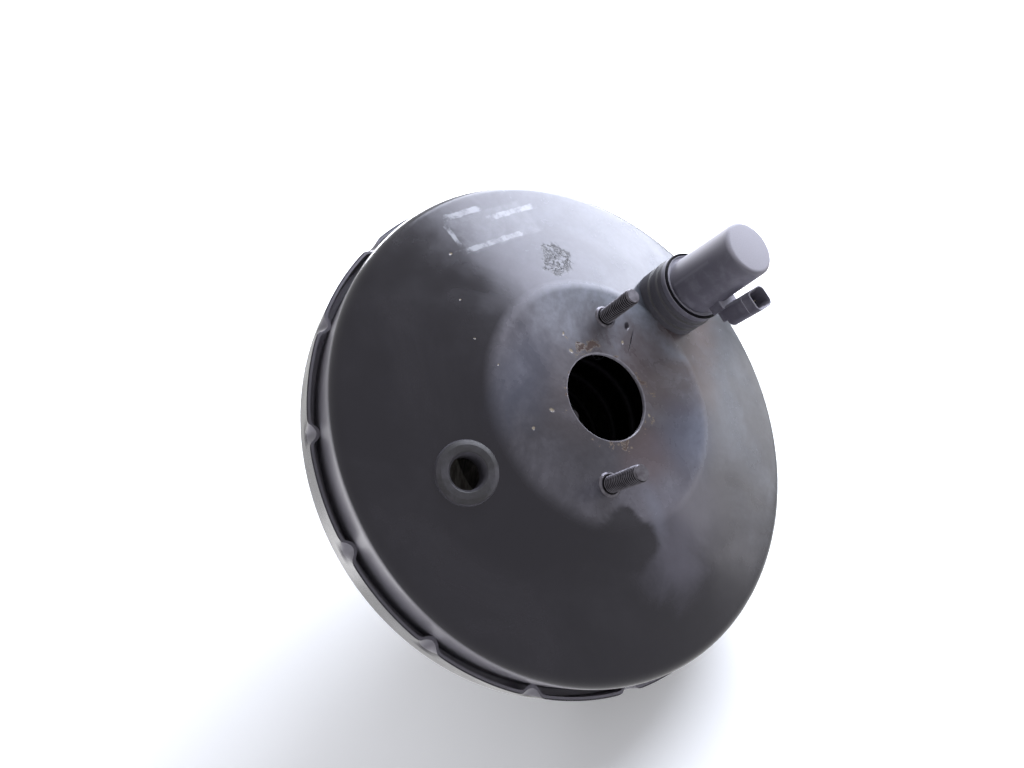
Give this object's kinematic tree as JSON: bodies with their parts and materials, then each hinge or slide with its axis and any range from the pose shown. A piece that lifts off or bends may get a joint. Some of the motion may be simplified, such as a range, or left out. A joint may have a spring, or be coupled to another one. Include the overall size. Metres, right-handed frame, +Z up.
{
  "type": "brake booster",
  "caption": "Vacuum brake booster with front and rear steel shells, power piston, control valve, travel sensor, input rod and clevis.",
  "frame": {"origin": "centre of the bulkhead stud pattern on the rear mounting face", "axes": "+Y along the booster's axis towards the pedal, +X along the line of the master-cylinder studs, +Z up across it"},
  "size_m": [0.262, 0.2195, 0.262],
  "materials": {
    "painted_steel": "glossy",
    "bare_steel": "satin",
    "zinc_steel": "satin",
    "spring_steel": "satin",
    "black_rubber": "matte",
    "dark_plastic": "satin",
    "bush_plastic": "satin",
    "phenolic": "satin",
    "tinned_brass": "satin",
    "filter_foam": "matte",
    "felt": "matte"
  },
  "bodies": {
    "housing": {"front_shell": "painted_steel", "rear_shell": "painted_steel", "front_stud_plate": "bare_steel", "rear_stud_plate": "bare_steel", "master_cylinder_studs": "zinc_steel", "bulkhead_studs": "zinc_steel", "vacuum_grommet": "black_rubber", "sensor_grommet": "black_rubber", "sensor_body": "dark_plastic", "sensor_terminals": "tinned_brass", "sensor_retaining_ring": "spring_steel", "guide_bush": "bush_plastic", "rear_seal": "black_rubber", "seal_retainer": "spring_steel", "dust_boot": "black_rubber"},
    "power_piston": {"valve_body": "phenolic", "diaphragm_plate": "bare_steel", "diaphragm": "black_rubber", "return_spring": "spring_steel", "reaction_disc": "black_rubber", "output_rod": "zinc_steel", "adjusting_tip": "zinc_steel", "output_rod_retainer": "bare_steel", "stop_key": "bare_steel", "poppet_valve": "black_rubber", "poppet_retainer": "bare_steel", "poppet_spring": "spring_steel", "rod_return_spring": "spring_steel", "air_filter": "filter_foam", "silencer": "felt"},
    "valve_plunger": {"valve_plunger": "bare_steel"},
    "pushrod": {"input_rod": "zinc_steel", "lock_nut": "zinc_steel", "clevis": "zinc_steel"},
    "sensor_plunger": {"sensor_plunger": "dark_plastic", "sensor_spring": "spring_steel"}
  },
  "joints": [
    {"name": "boost_stroke", "type": "slide", "parent": "housing", "child": "power_piston", "axis": [0, -1, 0], "range_m": [0, 0.032], "stiffness_N_per_m": 4000, "springref_m": -0.012, "deforming": ["return_spring", "diaphragm", "dust_boot"]},
    {"name": "valve_stroke", "type": "slide", "parent": "power_piston", "child": "valve_plunger", "axis": [0, -1, 0], "range_m": [0, 0.002], "stiffness_N_per_m": 5000, "springref_m": -0.004, "deforming": ["poppet_spring", "rod_return_spring", "poppet_valve"]},
    {"name": "pushrod_swing", "type": "hinge", "parent": "valve_plunger", "child": "pushrod", "pos_m": [0, -0.0123, 0], "axis": [1, 0, 0], "range_deg": [-3, 3]},
    {"name": "sensor_travel", "type": "slide", "parent": "housing", "child": "sensor_plunger", "axis": [0, -1, 0], "range_m": [0, 0.032], "deforming": ["sensor_spring"]}
  ],
  "couplings": [
    {"joint": "sensor_travel", "follows": "boost_stroke", "ratio": 1}
  ]
}
